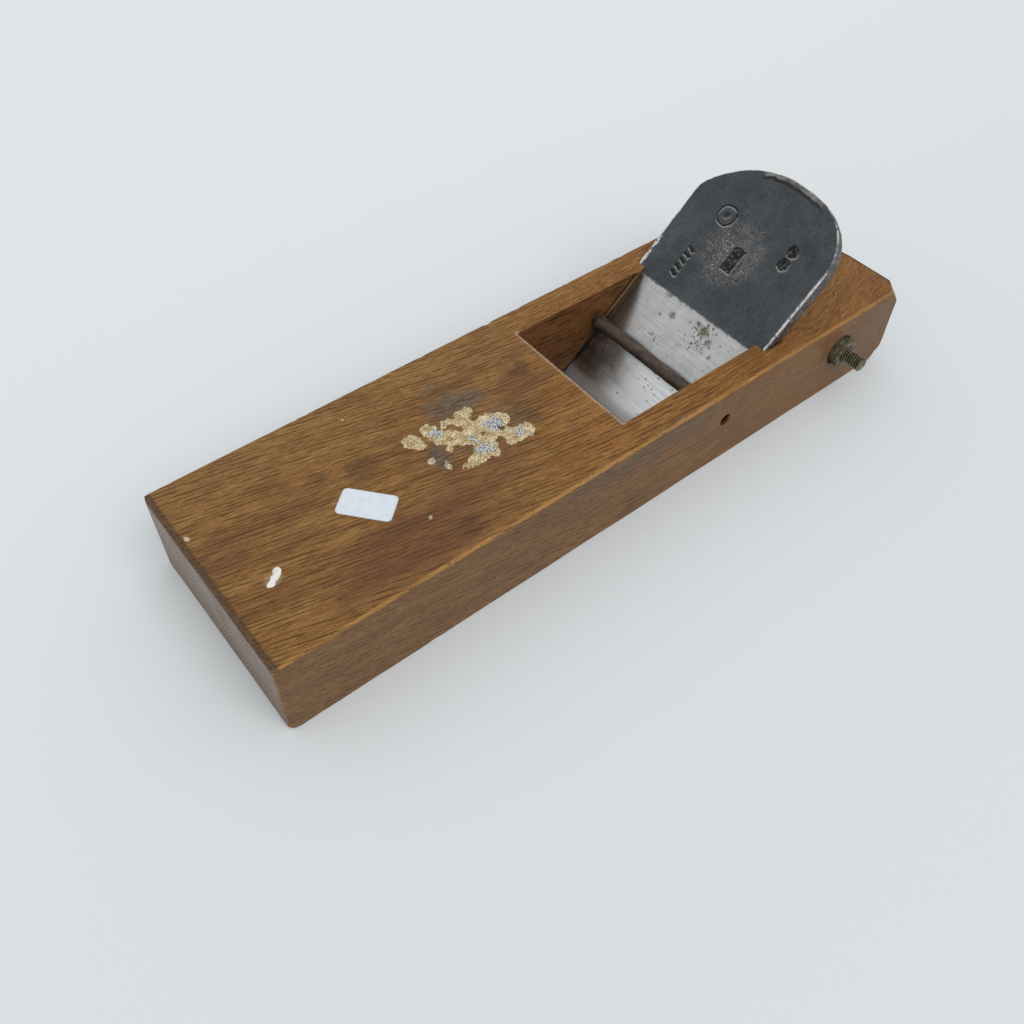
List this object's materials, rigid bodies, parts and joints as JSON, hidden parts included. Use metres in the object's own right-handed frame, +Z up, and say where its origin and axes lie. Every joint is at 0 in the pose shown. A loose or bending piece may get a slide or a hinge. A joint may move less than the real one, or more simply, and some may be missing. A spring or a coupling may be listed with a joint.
{
  "type": "hand plane",
  "caption": "Wooden pull plane: a long hardwood block with a stepped throat, a wedged tapered iron, a cross pin, and a clamping bolt with nut and washers through the heel.",
  "frame": {"origin": "centre of the block's sole, where the plane rests", "axes": "+X along the block from the toe to the heel, +Y to the side of the bolt's head, +Z up from the sole"},
  "size_m": [0.271, 0.094, 0.0693],
  "materials": {
    "oak": "oiled and handled, with open pores and worn edges",
    "forged_iron": "dark forge scale, lightly pitted, bright worn edges",
    "ground_steel": "ground, with fine scratches and small rust pits",
    "rusty_steel": "dull brown rust",
    "tarnished_brass": "dull, dark and greenish",
    "label_paper": "matt white paper",
    "old_paper": "torn, yellowed paper and glue"
  },
  "bodies": {
    "stock": {"dai": "oak", "cross_pin": "rusty_steel", "clamp_bolt": "tarnished_brass", "head_washer": "tarnished_brass", "paper_label": "label_paper", "label_residue": "old_paper"},
    "iron": {"blade_iron": "forged_iron", "blade_steel": "ground_steel"},
    "washer": {"nut_washer": "tarnished_brass"},
    "nut": {"clamp_nut": "tarnished_brass"}
  },
  "joints": [
    {"name": "iron_slide", "type": "slide", "parent": "stock", "child": "iron", "axis": [0.7809, 0, 0.6247], "range_m": [-0.001, 0.05]},
    {"name": "nut_travel", "type": "slide", "parent": "stock", "child": "washer", "axis": [0, -1, 0], "range_m": [0, 0.007]},
    {"name": "nut_turn", "type": "hinge", "parent": "washer", "child": "nut", "pos_m": [0.1045, -0.041, 0.0197], "axis": [0, -1, 0], "range_deg": [0, 2521]}
  ],
  "couplings": [
    {"joint": "nut_turn", "follows": "nut_travel", "rad_per_m": 6283.2}
  ]
}
